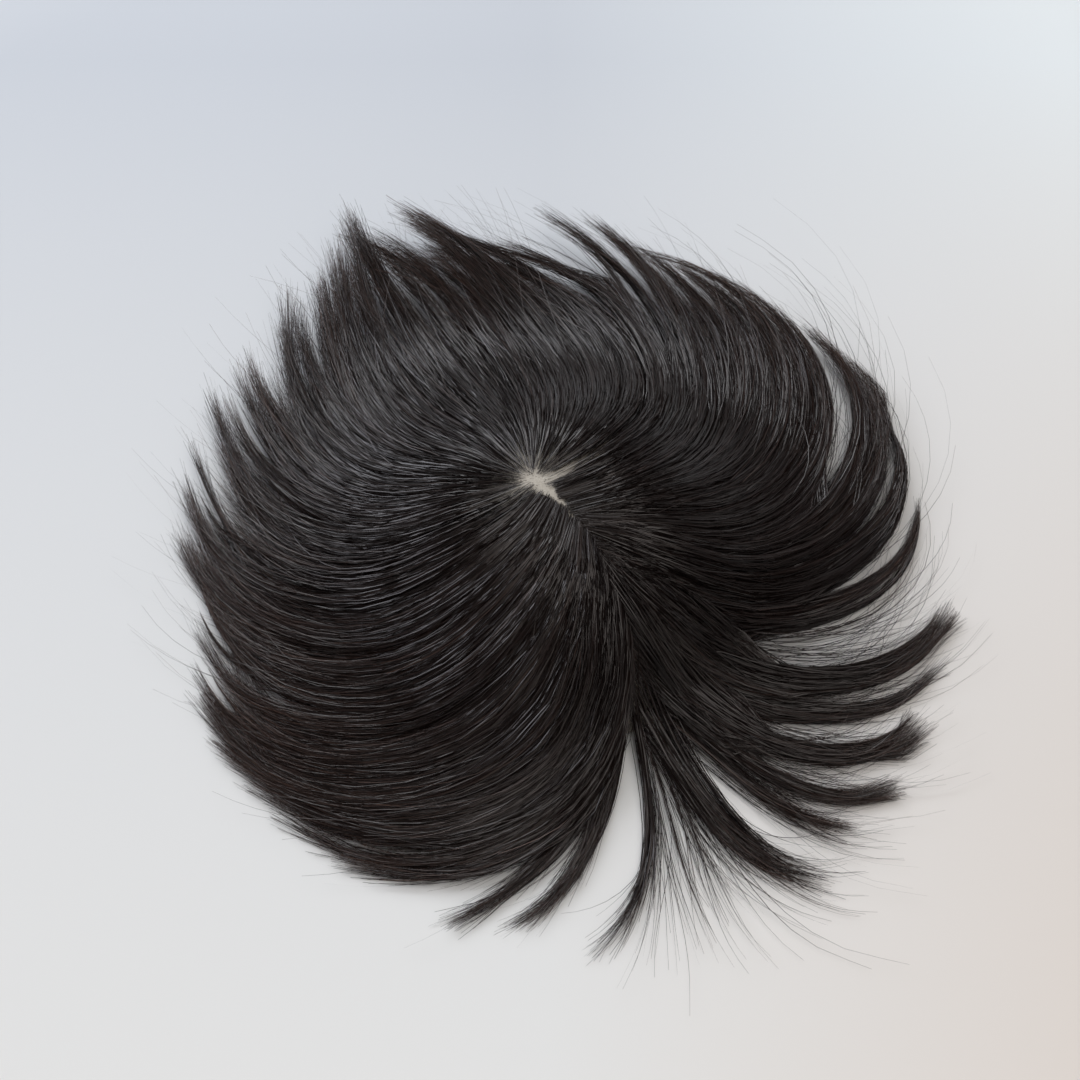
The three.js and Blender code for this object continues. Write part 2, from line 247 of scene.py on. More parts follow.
# %% The table of locks
LOCK_LENGTH, LOCK_WIDTH, LOCK_DEPTH, TIP_LIFT = 0.23, 0.03, 0.016, 0.016
COLUMNS = ["parting", "start", "middle", "end", "length", "width", "depth", "tip", "lift"]
COLUMNS += ["mingle", "fullness"]
SECTIONS = {
    "fringe_hair": [
        [0.98, 290, 260, 205, 0.46, 0.11, 0.25, 0.3, 0, 0.02, 0.6],
        [1, 298, 272, 262, 0.37, 0.14, 0.2, 0.3, 0, 0.03, 0.05],
        [0.99, 313, 284, 305, 0.39, 0.18, 0.2, 0.3, 0, 0.12, 0.06],
        [0.96, 314, 312, 370, 0.48, 0.3, 0.4, 0.4, 0, 0.1, 0.42],
    ],
    "front_right_hair": [
        [0.92, -16, -40.5, 9, 0.45, 0.2, 0.3, 0.3, 0, 0.05, 0.8],
        [0.88, -18, -35.5, 22, 0.45, 0.34, 0.5, 0.4, 0, 0.1, 1],
        [0.84, -17.5, -20.5, 46, 0.5, 0.64, 0.7, 0.5, 0, 0.12, 1],
        [0.78, -10.5, -9.5, 46, 0.54, 0.24, 0.4, 0.3, 0, 0.1, 0.7],
        [0.7, -5.5, -1, 61, 0.61, 0.72, 0.7, 0.35, 0, 0.15, 1],
    ],
    "right_hair": [
        [0.6, 5, 17, 104, 0.74, 0.5, 0.6, 0.3, 0, 0.12, 1],
        [0.48, 1, 44, 135, 0.94, 0.9, 1, 0.3, 0.25, 0.25, 1],
        [0.35, 3, 61, 151, 1, 0.9, 1, 0.3, 0.4, 0.45, 1],
        [0.22, 10, 73, 166, 1.01, 0.95, 1, 0.3, 0.5, 0.45, 1],
        [0.15, 7, 82, 128, 0.88, 0.75, 1, 0.3, 0.6, 0.4, 1],
    ],
    "back_hair": [
        [0.1, 9, 91, 138, 0.97, 0.65, 1, 0.25, 0.75, 0.25, 1],
        [0, 18, 112, 183, 0.98, 0.9, 1, 0.25, 0.3, 0.5, 1],
        [0, 45, 114, 142, 0.85, 0.85, 1, 0.25, 1, 0.5, 1],
        [0, 71, 112, 146, 0.76, 0.8, 1, 0.25, 1, 0.5, 1],
        [0, 94, 117, 155, 0.77, 0.8, 1, 0.3, 0.75, 0.5, 1],
    ],
    "back_left_hair": [
        [0, 115, 120, 113, 0.79, 0.75, 1, 0.3, 1, 0.5, 1],
        [0, 137, 118, 102, 0.8, 0.7, 1, 0.3, 0.8, 0.5, 1],
        [0, 160, 117, 102, 0.8, 0.75, 1, 0.4, 0.75, 0.5, 1],
        [0, 175, 123, 96, 0.8, 0.85, 1, 0.4, 0.6, 0.5, 1],
        [0, 195, 137, 102, 0.73, 0.9, 1, 0.45, 0.5, 0.5, 1],
    ],
    "left_hair": [
        [0, 213, 147, 112, 0.75, 0.9, 1, 0.45, 0.4, 0.5, 1],
        [0, 233, 153, 109, 0.8, 0.9, 1, 0.45, 0.25, 0.5, 1],
        [0.05, 249, 167, 111, 0.83, 0.95, 1, 0.45, 0.2, 0.5, 1],
        [0.12, 257, 174, 109, 0.87, 0.95, 1, 0.4, 0, 0.45, 1],
        [0.2, 260, 183, 108, 0.87, 0.95, 1, 0.3, 0, 0.45, 1],
    ],
    "front_left_hair": [
        [0.3, 263, 190, 111, 0.9, 0.92, 1, 0.3, 0, 0.45, 1],
        [0.4, 267, 196, 122, 0.88, 0.9, 1, 0.3, 0, 0.45, 1],
        [0.5, 274, 198, 136, 0.86, 0.9, 1, 0.3, 0, 0.45, 1],
        [0.62, 275, 201, 145, 0.78, 0.9, 1, 0.3, 0, 0.4, 1],
        [0.8, 268, 207, 157, 0.65, 0.82, 0.85, 0.4, 0, 0.2, 1],
        [0.9, 263, 233, 204, 0.48, 0.22, 0.4, 0.4, 0, 0.1, 0.9],
        [0.96, 262, 243, 192, 0.455, 0.2, 0.35, 0.3, 0, 0.06, 0.9],
    ],
}

locks = np.array([row for rows in SECTIONS.values() for row in rows], float)
for heading_column in (1, 2, 3):
    locks[:, heading_column] = np.unwrap(locks[:, heading_column], period=360)
section_of = np.repeat(np.arange(len(SECTIONS)), [len(rows) for rows in SECTIONS.values()])
print(len(locks), "locks in", len(SECTIONS), "sections")


def rows_at(places):
    """The table's values at places between its rows, as a dict of arrays."""
    places = np.clip(places, 0, len(locks) - 1)
    below = np.minimum(places.astype(int), len(locks) - 2)
    share = (places - below)[:, None]
    values = locks[below] * (1 - share) + locks[below + 1] * share
    return {name: values[:, k : k + 1] for k, name in enumerate(COLUMNS)}


# %% [markdown]
# ## Paths of single hairs
# A hair is placed by four things: its place in the table, how far along the lock it starts and ends,
# how far to the side of the lock it runs, and how deep in the hair it lies. Simulated hair could be
# combed into such a form, but it would have to be combed anew after each change. Working the paths
# out from the table takes two seconds for thirty thousand hairs, and the result is always the same.

# %% From the table to paths
FINE_STEPS = 48
GROWN, TAPER, TIP_THINNING, CROWNING, TIP_CROWNING = 0.45, 0.6, 0.45, 0.22, 0.7
ROOT_DEPTH, ROOT_RISE = 0.002, 0.034
ROOT_WIDTH_AT_WHORL, ROOT_WIDTH_ON_PARTING = 0.003, 0.012
WHORL_ENDS, PARTING_BEGINS = 0.02, 0.3


def headings(row, share):
    """Headings in radians: through the start, middle and end values as a smooth curve."""
    start, middle, end = row["start"], row["middle"], row["end"]
    degrees = start * (1 - share) * (1 - 2 * share) + middle * 4 * share * (1 - share)
    return np.radians(degrees + end * share * (2 * share - 1))


def plan_paths(row, share, setback):
    """Places in plan, and headings, of the lock centre lines at these shares of their lengths."""
    steps = (np.arange(FINE_STEPS) + 0.5) / FINE_STEPS
    way = headings(row, steps[None, :])
    stride = row["length"] * LOCK_LENGTH / FINE_STEPS
    root = parting_point(row["parting"][:, 0])
    first = headings(row, np.zeros_like(row["start"]))[:, 0]
    root = root + setback[:, None] * np.stack([np.cos(first), np.sin(first)], 1)
    knots = np.linspace(0, 1, FINE_STEPS + 1)
    places = []
    for axis, turn in enumerate((np.cos, np.sin)):
        along = np.concatenate([np.zeros((len(root), 1)), np.cumsum(turn(way) * stride, 1)], 1)
        slot = np.clip(share * FINE_STEPS, 0, FINE_STEPS - 1e-6)
        below = slot.astype(int)
        part = slot - below
        low = np.take_along_axis(along, below, 1)
        high = np.take_along_axis(along, below + 1, 1)
        past = np.maximum(0, share - 1) * row["length"] * LOCK_LENGTH
        places.append(root[:, axis : axis + 1] + mix(low, high, part) + turn(way[:, -1:]) * past)
    return places[0], places[1], headings(row, np.clip(share, 0, 1))


def half_width(row, share):
    full = row["width"] * LOCK_WIDTH
    on_parting = ease(row["parting"], WHORL_ENDS, PARTING_BEGINS)
    root = np.minimum(mix(ROOT_WIDTH_AT_WHORL, ROOT_WIDTH_ON_PARTING, on_parting), full)
    width = mix(root, full, np.sin(np.minimum(1, share / GROWN) * np.pi / 2))
    return width * mix(1, row["tip"], ease(share, TAPER, 1)) / 2


def hair_heights(row, x, y, share, side):
    """The underside and the top of a lock at a place in plan."""
    lowest = lowest_hair(cap_radius(x, y))
    highest = mix(lowest, highest_hair(x, y), row["depth"])
    under = np.maximum(lowest, highest - row["depth"] * LOCK_DEPTH)
    grown = ease(share * row["length"] * LOCK_LENGTH, 0, ROOT_RISE)
    thinned = 1 - TIP_THINNING * ease(share, TAPER, 1)
    depth = mix(ROOT_DEPTH, np.maximum(ROOT_DEPTH, highest - under), grown) * thinned
    crowning = mix(CROWNING, TIP_CROWNING, ease(share, GROWN, 1))
    lift = row["lift"] * TIP_LIFT * ease(share, 0.5, 1)
    return under + lift, under + lift + depth * (1 - crowning * np.clip(side, -1, 1) ** 2)


def hair_points(places, share, side, level, setback):
    """Points in metres, in the frame, of hairs given by these values at each of their stations."""
    row = rows_at(places)
    x, y, heading = plan_paths(row, share, setback)
    offset = side * half_width(row, np.clip(share, 0, 1))
    x, y = x - offset * np.sin(heading), y + offset * np.cos(heading)
    under, top = hair_heights(row, x, y, np.clip(share, 0, 1), side)
    z = mix(under, top, level)
    return np.stack([x + cap_middle.x, y + cap_middle.y, z], -1)


every_lock = np.arange(len(locks)) * 1.0
tips = hair_points(every_lock, np.ones((len(locks), 1)), 0.0, 0.5, np.zeros(len(locks)))
print("the locks' tips span x, y, z in mm:", np.round(np.ptp(tips, axis=(0, 1)) * 1000).tolist())

# %% [markdown]
# ## From paths to a mesh
# A real hair is a tapered thread. Curve objects with a bevel would draw it, but thirty thousand of
# them are slow, so all the hairs of a section are one mesh made from arrays. The thicker hairs that fill
# the depth are closed tubes with three sides. The fine ones on top are flat ribbons, each turned its own
# way and slowly twisting, so that each catches the light for part of its length, as fine hair does.
# Each point keeps two numbers for the finish: the hair's tone, which in the deep hairs also holds painted
# shade, and how far along the hair it is.
# All that is random comes from one seeded generator, so that every run grows the same hair.

# %% Tubes and ribbons
rng = np.random.default_rng(41)
TUBE_SIDES = 3
RIBBON_SPREAD, RIBBON_TWIST = 40.0, 70.0
LOWEST_EDGE = 0.00005


def frames_along(points):
    """Directions across each hair and up from it, at each station."""
    tangent = np.gradient(points, axis=1)
    tangent /= np.linalg.norm(tangent, axis=2, keepdims=True) + 1e-12
    across = np.stack([-tangent[..., 1], tangent[..., 0], np.zeros(points.shape[:2])], -1)
    across /= np.linalg.norm(across, axis=2, keepdims=True) + 1e-9
    return across, np.cross(tangent, across)


def with_numbers(vertices, quads, triangles, tone, stations, around):
    return {
        "vertices": vertices.reshape(-1, 3),
        "quads": quads.reshape(-1, 4),
        "triangles": triangles.reshape(-1, 3),
        "tone": np.repeat(tone, stations * around),
        "along": np.repeat(np.tile(np.linspace(0, 1, stations), len(tone)), around),
    }


def tubes(points, radius, tone):
    """Closed tapered tubes with three sides."""
    hairs, stations, _ = points.shape
    across, upward = frames_along(points)
    rings = []
    for corner in range(TUBE_SIDES):
        angle = 2 * math.pi * corner / TUBE_SIDES + math.pi / 2
        spoke = across * math.cos(angle) + upward * math.sin(angle)
        rings.append(points + spoke * radius[..., None])
    first = (np.arange(hairs)[:, None] * stations + np.arange(stations - 1)[None, :]) * TUBE_SIDES
    ring = first + TUBE_SIDES
    pairs = [(corner, (corner + 1) % TUBE_SIDES) for corner in range(TUBE_SIDES)]
    quads = np.stack([np.stack([first + c, ring + c, ring + d, first + d], -1) for c, d in pairs], 2)
    root = np.arange(hairs) * stations * TUBE_SIDES
    tip = root + (stations - 1) * TUBE_SIDES
    root_ends = np.stack([root, root + 1, root + 2], 1)
    tip_ends = np.stack([tip, tip + 2, tip + 1], 1)
    ends = np.concatenate([root_ends, tip_ends])
    return with_numbers(np.stack(rings, 2), quads, ends, tone, stations, TUBE_SIDES)


def ribbons(points, half, tone):
    """Flat tapered ribbons, each turned and twisted by random angles."""
    hairs, stations, _ = points.shape
    across, upward = frames_along(points)
    turn = np.radians(rng.normal(0, RIBBON_SPREAD, hairs))[:, None]
    twist = np.radians(rng.normal(0, RIBBON_TWIST, hairs))[:, None]
    turn = turn + twist * np.linspace(-0.5, 0.5, stations)
    wide = across * np.cos(turn)[..., None] + upward * np.sin(turn)[..., None]
    edges = np.stack([points - wide * half[..., None], points + wide * half[..., None]], 2)
    edges[..., 2] = np.maximum(edges[..., 2], LOWEST_EDGE)
    first = (np.arange(hairs)[:, None] * stations + np.arange(stations - 1)[None, :]) * 2
    quads = np.stack([first, first + 2, first + 3, first + 1], -1)
    return with_numbers(edges, quads, np.zeros((0, 3), int), tone, stations, 2)


print("tubes have", TUBE_SIDES, "sides")

# %% [markdown]
# ## Joining hairs into one mesh
# Joining thousands of objects one by one is slow. Here the arrays of all tubes and ribbons are put
# end to end, the numbers of their corners are shifted to match, and Blender takes them in one go.

# %% Join hairs
def joined_piece(name, parts, material):
    """One mesh object from the arrays of several parts."""
    shift = 0
    quads, triangles = [], []
    for part in parts:
        quads.append(part["quads"] + shift)
        triangles.append(part["triangles"] + shift)
        shift += len(part["vertices"])
    quads, triangles = np.concatenate(quads), np.concatenate(triangles)
    corners = np.concatenate([quads.ravel(), triangles.ravel()])
    sizes = np.concatenate([np.full(len(quads), 4), np.full(len(triangles), 3)])
    mesh = bpy.data.meshes.new(name)
    mesh.vertices.add(shift)
    mesh.loops.add(len(corners))
    mesh.polygons.add(len(sizes))
    vertices = np.concatenate([part["vertices"] for part in parts])
    mesh.vertices.foreach_set("co", vertices.astype(np.float32).ravel())
    mesh.loops.foreach_set("vertex_index", corners.astype(np.int32))
    mesh.polygons.foreach_set("loop_start", (np.cumsum(sizes) - sizes).astype(np.int32))
    mesh.polygons.foreach_set("use_smooth", np.ones(len(sizes), bool))
    for kind in ("tone", "along"):
        values = np.concatenate([part[kind] for part in parts]).astype(np.float32)
        mesh.attributes.new(kind, "FLOAT", "POINT").data.foreach_set("value", values)
    mesh.update(calc_edges=True)
    mesh.materials.append(material)
    piece = bpy.data.objects.new(name, mesh)
    bpy.context.scene.collection.objects.link(piece)
    print(name, "has", 2 * len(quads) + len(triangles), "triangles")
    return piece


print("hairs can be joined")

# %% [markdown]
# ## The finish of the hair
# The hair is brown-black. Seen close, hairs differ a little: some are warmer and lighter, and all are
# a touch browner towards their thin ends. The tone comes from the number that each hair carries. The
# gloss is the shader's own, over ribbons and tubes, so that it runs along the hair as on the real one.

# %% Hair material
HAIR_SHADES = [
    (0.0, (0.0035, 0.002, 0.0018)),
    (1.0, (0.12, 0.062, 0.044)),
    (0.45, (0.013, 0.0074, 0.0064)),
    (0.75, (0.046, 0.025, 0.019)),
]
FROM_TONE, FROM_STREAKS, FROM_TIP = 0.7, 0.15, 0.42
STREAK_PATTERN = {"Scale": 60.0, "Detail": 3.0, "Roughness": 0.6}
LEAST_ROUGH, ROUGHER_WITH_TONE = 0.2, 0.22


def hair_colours(material):
    tone = node(material, "ShaderNodeAttribute", {"attribute_name": "tone"}, output=2)
    along = node(material, "ShaderNodeAttribute", {"attribute_name": "along"}, output=2)
    streaks = node(material, "ShaderNodeTexNoise", {"noise_dimensions": "3D"}, STREAK_PATTERN)
    shade = tone * FROM_TONE + streaks * FROM_STREAKS + (along**4) * FROM_TIP
    colour = node(material, "ShaderNodeValToRGB", {"stops": HAIR_SHADES}, {"Fac": shade})
    return {"Base Color": colour, "Roughness": LEAST_ROUGH + tone * ROUGHER_WITH_TONE}


hair_finish = finish(
    "brown_black_hair",
    {"IOR": 1.55, "Specular IOR Level": 0.36, "Specular Tint": (1.0, 0.93, 0.9, 1.0)},
    hair_colours,
)
print("hair finish has", len(hair_finish.node_tree.nodes), "nodes")

# %% [markdown]
# ## Clefts between locks
# Here and there two locks part, and the table shows between them in a long thin slit. Such a cleft is
# a line between two rows of the table, and it is open between two shares of their length. Hairs near
# that line are pushed aside, as a comb would do it, and a few stay across it.

# %% Push hairs out of the clefts
CLEFTS = [
    # place in the table, where it opens and closes in shares of the length, half width in metres
    (4.6, 0.40, 1.10, 0.0022),
    (5.4, 0.45, 1.05, 0.0011),
    (5.8, 0.45, 0.95, 0.0005),
    (6.3, 0.42, 1.00, 0.0006),
    (6.75, 0.50, 1.10, 0.0014),
    (7.5, 0.50, 1.10, 0.0018),
    (8.15, 0.34, 0.95, 0.0006),
    (8.78, 0.30, 1.15, 0.0055),
    (9.4, 0.43, 1.10, 0.0022),
    (10.8, 0.47, 0.95, 0.0030),
    (12.0, 0.62, 0.85, 0.0008),
    (13.8, 0.42, 0.70, 0.0008),
    (14.2, 0.50, 0.85, 0.0017),
    (14.5, 0.74, 1.15, 0.0035),
    (24.0, 0.66, 1.00, 0.0011),
    (25.8, 0.76, 1.08, 0.0016),
    (28.3, 0.78, 1.08, 0.0018),
    (29.6, 0.82, 1.10, 0.0018),
]
CLEFT_KNOTS = 40
# how many locks away a cleft is felt, how many half widths away it pushes, how blunt its ends are
CLEFT_REACH, CLEFT_PUSH, CLEFT_ROUNDING = 1.2, 3, 0.6


def open_clefts(points, places, keep):
    """Moves hairs sideways out of every cleft that they run along. A share of them, keep, stays."""
    for place, opens, closes, half in CLEFTS:
        beside_it = np.abs(places - place) < CLEFT_REACH
        near = np.flatnonzero(beside_it & (rng.random(len(places)) >= keep))
        if not len(near):
            continue
        share = np.linspace(opens, closes, CLEFT_KNOTS)[None, :]
        line = hair_points(np.array([place]), share, 0.0, 0.5, np.array([0.0]))[0, :, :2]
        heading = np.arctan2(*np.gradient(line, axis=0).T[::-1])
        normal = np.stack([-np.sin(heading), np.cos(heading)], -1)
        width = half * np.sin(np.pi * np.linspace(0, 1, CLEFT_KNOTS)) ** CLEFT_ROUNDING
        here = points[near][:, :, None, :2]
        knot = np.argmin(((here - line) ** 2).sum(-1), -1)
        away = ((here[:, :, 0] - line[knot]) * normal[knot]).sum(-1)
        side = np.where(places[near] > place, 1.0, -1.0)[:, None]
        room = width[knot]
        beside = away * side
        moved = room + np.maximum(beside, 0) * (CLEFT_PUSH - 1) / CLEFT_PUSH
        pushed = np.where((beside < CLEFT_PUSH * room) & (room > 1e-6), moved, beside)
        points[near, :, :2] += ((pushed - beside) * side)[..., None] * normal[knot]
    return points


print(len(CLEFTS), "clefts")

# %% [markdown]
# ## Growing the hair
# Hair lies in tresses: thin bundles that start apart, run side by side and gather into tufts. Between
# the tufts the table shows through, and their tips are thin and uneven. So every hair has a place in
# the field of hair and belongs to a tuft, and is drawn towards the middle of its tuft as it nears the
# tip. Most hairs lie near the top, where they are seen, and the rest fill the depth.
# First come the roots. They are sparse at the whorl, where the base shows as a pale patch, and dense
# along the parting, which hairs leave at a slant.

# %% Where hairs start
# lengths are in metres, and places along the parting in shares of it
BASE_REACH = 0.062
WHORL_FADES, WHORL_GONE, PATCH_GONE = 0.12, 0.32, 0.4
BARE_STRIP = 0.0013
CLOSE_ON_PARTING, CLOSE_AT_WHORL = 0.5, 0.025
FILLED_PLACE, FILLED_SPREAD, FILLED_SHARE = 15.1, 0.4, 0.06
ROOTS_AT_WHORL, ROOTS_ON_PARTING = (3.0, 0.0022), (1.5, 0.0008)
LEAST_SWEEP, SWEEP, SWEPT_LENGTH, SWEEP_ENDS = 0.06, 0.22, 0.07, 0.25
PATCH_SHIFT = (0.001, -0.002)


def starts(places, hairs):
    """How far along its lock, in metres, each hair is knotted into the base: few close to the whorl."""
    parting = rows_at(places)["parting"][:, 0]
    near_whorl = 1 - ease(parting, 0, WHORL_FADES)
    bare = BARE_STRIP * (1 - ease(parting, WHORL_FADES, WHORL_GONE)) * rng.uniform(0.5, 1.5, hairs)
    filled = FILLED_SHARE * np.exp(-(((places - FILLED_PLACE) / FILLED_SPREAD) ** 2))
    close = rng.random(hairs) < mix(CLOSE_ON_PARTING, CLOSE_AT_WHORL, near_whorl) + filled
    close_by = rng.gamma(*ROOTS_AT_WHORL, hairs)
    at_whorl = np.where(close, close_by, BASE_REACH * np.sqrt(0.004 + rng.random(hairs)))
    close_by = rng.gamma(*ROOTS_ON_PARTING, hairs)
    on_parting = np.where(close, close_by, BASE_REACH * rng.random(hairs) ** 1.4)
    return mix(on_parting + bare, at_whorl, near_whorl)


def swept_forwards(points, places, way):
    """Lets hairs leave the parting at a slant: they start further back along it and join their path."""
    parting = rows_at(places)["parting"][:, 0]
    back = LEAST_SWEEP + np.abs(rng.normal(0, SWEEP, len(places)))
    back = np.minimum(back, np.maximum(parting - SWEEP_ENDS, 0))
    shift = parting_point(parting - back) - parting_point(parting)
    shift = shift + np.array(PATCH_SHIFT) * (1 - ease(parting, 0, PATCH_GONE))[:, None]
    fade = np.maximum(0, 1 - way / SWEPT_LENGTH) ** 2
    flat = points[..., :2] - np.array(cap_middle)[:2]
    before = lowest_hair(cap_radius(flat[..., 0], flat[..., 1]))
    flat = flat + shift[:, None, :] * fade[..., None]
    after = lowest_hair(cap_radius(flat[..., 0], flat[..., 1]))
    points[..., :2] = flat + np.array(cap_middle)[:2]
    points[..., 2] += after - before
    return points


print("hairs are knotted in up to", round(BASE_REACH * 1000), "mm along their locks")

# %% [markdown]
# ## Ends, waves and scatter
# Hairs of one length would end in a straight edge, as if cut with shears. So each one ends at its own
# place, wanders a little to the side, and stands off from its neighbours at the tip. Some sections are
# more ragged or splay more than others. A hair that strays too far from the solids is left out.

# %% How hairs end, wander and splay
# SHORTER and RAGGED are shares of a lock's length, and SPLAY and SCATTER are in metres
SHORTER = {"left_hair": 0.02, "back_left_hair": 0.01, "front_right_hair": -0.03, "fringe_hair": 0.02}
RAGGED = {"fringe_hair": 0.25, "front_right_hair": 0.23, "left_hair": 0.44}
RAGGED.update({"front_left_hair": 0.4, "back_left_hair": 0.5})
SPLAY = {"fringe_hair": 0.003, "front_right_hair": 0.0032, "right_hair": 0.0018, "back_left_hair": 0.0034}
USUAL_RAGGED, USUAL_SPLAY = 0.36, 0.0026
DEEP_SETBACK, SHORTEST = 0.014, 0.3
WANDER, WAVES, LOOSE_SHARE, LOOSER = 0.08, (0.7, 2.0), 0.08, 2.5
SCATTER, SPLAY_AXES, SPLAY_LIMIT = (0.0008, 0.0008, 0.0006), (1, 1, 0.6), 2.6
ROOM, ROOM_SHARE = 0.006, 0.03


def spans(section, places, length, reach, on_top):
    """Where hairs start and end, in shares of the lock's length."""
    hairs = len(places)
    start = starts(places, hairs) / length
    if not on_top:
        start = start + DEEP_SETBACK / length
    end = reach - SHORTER.get(section, 0.0)
    end = end - RAGGED.get(section, USUAL_RAGGED) * rng.random(hairs) ** 1.7 + rng.normal(0, 0.015, hairs)
    return np.minimum(start, end - SHORTEST), end


def wandering(share):
    """How far each hair strays to the side of its path, as a slow wave. A few stray further."""
    hairs = len(share)
    waves = rng.uniform(*WAVES, hairs)[:, None] * share + rng.random(hairs)[:, None]
    loose = 1 + LOOSER * (rng.random(hairs) < LOOSE_SHARE)
    return (rng.normal(0, WANDER, hairs) * loose)[:, None] * np.sin(2 * math.pi * waves)


def frayed(points, share, end, section):
    """Scatters hairs from their middles on, and splays their tips."""
    hairs = len(points)
    scatter = rng.normal(0, 1, (hairs, 1, 3)) * SCATTER
    splay = np.clip(rng.standard_t(3, (hairs, 1, 3)), -SPLAY_LIMIT, SPLAY_LIMIT) * np.array(SPLAY_AXES)
    splay = splay * SPLAY.get(section, USUAL_SPLAY) * 0.7
    points = points + scatter * ease(share, 0.4, 1)[..., None]
    return points + splay * ease(share, end[:, None] - 0.3, end[:, None] + 0.05)[..., None] ** 1.5


def inside_limit(points):
    """Whether a hair keeps within the room that loose hair may take round the solids."""
    low, high = np.array(cad_box)
    room = ROOM + ROOM_SHARE * (high - low)
    return ((points > low - room) & (points < high + room)).all((1, 2))


print("hairs stay within", ROOM * 1000, "mm and", ROOM_SHARE, "of the side round the solids")

# %% [markdown]
# ## The hairs of one lock
# Each hair has a path of its own and a path in the middle of its tuft. It starts on the first and is
# drawn towards the second as it goes, by a pull that differs from hair to hair. Combing does the same.

# %% Paths of the hairs of one lock
GATHERING = {"fringe_hair": 0.45, "front_right_hair": 0.4, "right_hair": 0.8}
TOP_UNEVENNESS, DEEP_LIMIT = 0.08, 0.92
IN_TRESS, TUFT_LEVEL, EDGE = 0.35, 0.6, 0.95
ROOTS_RISE, CROSSING = 0.02, 0.02
LOWEST_POINT = 0.0002


def lock_paths(lock, hairs, stations, on_top):
    """Paths of one lock's hairs, how far each station is from the root, and the hairs' tones."""
    row = dict(zip(COLUMNS, locks[lock]))
    section = list(SECTIONS)[section_of[lock]]
    length = row["length"] * LOCK_LENGTH
    facts = LOCK_FACTS[lock]
    across = rng.permutation(np.linspace(-1, 1, hairs)) + rng.normal(0, 0.03, hairs)
    across = np.clip(across, -1, 1)
    tress, tress_across = TRESSES[lock](across)
    tuft, tuft_across = TUFTS[lock](across)
    own_places = lock + row["mingle"] * across
    if on_top:
        level = 1 - np.abs(rng.normal(0, TOP_UNEVENNESS, hairs)) - facts["sunk"][tress]
    else:
        level = rng.uniform(0, DEEP_LIMIT, hairs)
    reach = facts["reach"][tuft] + facts["tress_reach"][tress]
    start, end = spans(section, own_places, length, reach, on_top)
    share = mix(start[:, None], end[:, None], np.linspace(0, 1, stations)[None, :])
    wander = wandering(share)
    arc = (share - start[:, None]) * length
    root_rise = ease(arc + 0.002, 0, ROOTS_RISE)
    levels = np.clip(level, 0.02, 1.03)[:, None]
    setback = np.full(hairs, 0.0003)
    side = mix(across, tress_across, IN_TRESS)[:, None] * EDGE + wander
    own = hair_points(own_places, share, side, levels * root_rise, setback)
    sway = facts["sway"][tuft][:, None] * ease(share, 0.5, 1.05)
    tuft_side = tuft_across[:, None] * EDGE + sway
    tuft_levels = mix(levels, facts["level"][tuft][:, None], TUFT_LEVEL) * root_rise
    drawn = hair_points(lock + row["mingle"] * tuft_across, share, tuft_side, tuft_levels, setback)
    pull = ease(share, 0.32, 0.95) * rng.beta(5, 1.2, hairs)[:, None] * GATHERING.get(section, 1.0)
    points = swept_forwards(mix(own, drawn, pull[..., None]), own_places, share * length)
    points = open_clefts(frayed(points, share, end, section), own_places, CROSSING)
    points[..., 2] = np.maximum(points[..., 2], LOWEST_POINT)
    kept = inside_limit(points)
    tone = 0.3 + facts["tone"][tress][kept] + rng.normal(0, 0.15, int(kept.sum()))
    return points[kept], arc[kept], np.clip(tone, 0, 1)


print("tufts gather fully in all sections but", ", ".join(GATHERING))

# %% [markdown]
# ## Tresses and tufts
# Every lock is divided once into narrow tresses and wider tufts. Each tress has its own tone and lies a
# little deeper or higher. Each tuft has its own length, sway and height.

# %% Tresses and tufts of every lock
EVENNESS = 0.6
TRESSES_IN_FULL_WIDTH, TUFTS_IN_FULL_WIDTH = 17, 4.2


def banding(count):
    """Fixes the bands of a lock once, so that its top and its depth share them."""
    edges = np.sort(rng.uniform(-1, 1, max(0, count - 1)))
    edges = mix(edges, np.linspace(-1, 1, count + 1)[1:-1], EVENNESS)
    bounds = np.concatenate([[-1], edges, [1]])

    def find(across):
        number = np.searchsorted(edges, across)
        return number, (bounds[number] + bounds[number + 1]) / 2

    return find


TRESSES, TUFTS, LOCK_FACTS = [], [], []
for lock in range(len(locks)):
    width = locks[lock, COLUMNS.index("width")]
    tresses = max(2, round(TRESSES_IN_FULL_WIDTH * width))
    tufts = max(1, round(TUFTS_IN_FULL_WIDTH * width * rng.uniform(0.8, 1.2)))
    TRESSES.append(banding(tresses))
    TUFTS.append(banding(tufts))
    LOCK_FACTS.append(
        {
            "sunk": np.abs(rng.normal(0, 0.12, tresses)),
            "tone": rng.normal(0, 0.1, tresses),
            "tress_reach": rng.normal(0, 0.015, tresses),
            "reach": rng.uniform(0.87, 1.05, tufts),
            "sway": rng.normal(0, 0.32, tufts),
            "level": rng.uniform(0.3, 1, tufts),
        }
    )
tress_count = sum(len(facts["sunk"]) for facts in LOCK_FACTS)
print(tress_count, "tresses in", sum(len(facts["reach"]) for facts in LOCK_FACTS), "tufts")

# %% [markdown]
# ## On top and in the depth
# The fine hairs on top carry the look, and they are many. Fewer and thicker ones fill the depth, so
# that nothing pale shows through, and their tone is darkened as painted shade, for hair that lies under
# other hair.

# %% Hairs of one lock, on top and in its depth
TOP_STATIONS, DEEP_STATIONS = 12, 8
TOP_HAIRS, DEEP_HAIRS = 1000, 200
TOP_HALF_WIDTHS, DEEP_RADII = (0.0001, 0.00019), (0.0002, 0.00032)
ROOT_THINNING, ROOT_THIN_FOR = 0.5, 0.016
# the last number darkens the tone of the deep hairs: painted shade for hair that lies under other hair
TOP_TIP_WIDTH, DEEP_TIP_WIDTH, PAINTED_SHADE_IN_DEPTH = 0.3, 0.2, 0.6
OVER_TABLE = 0.0001


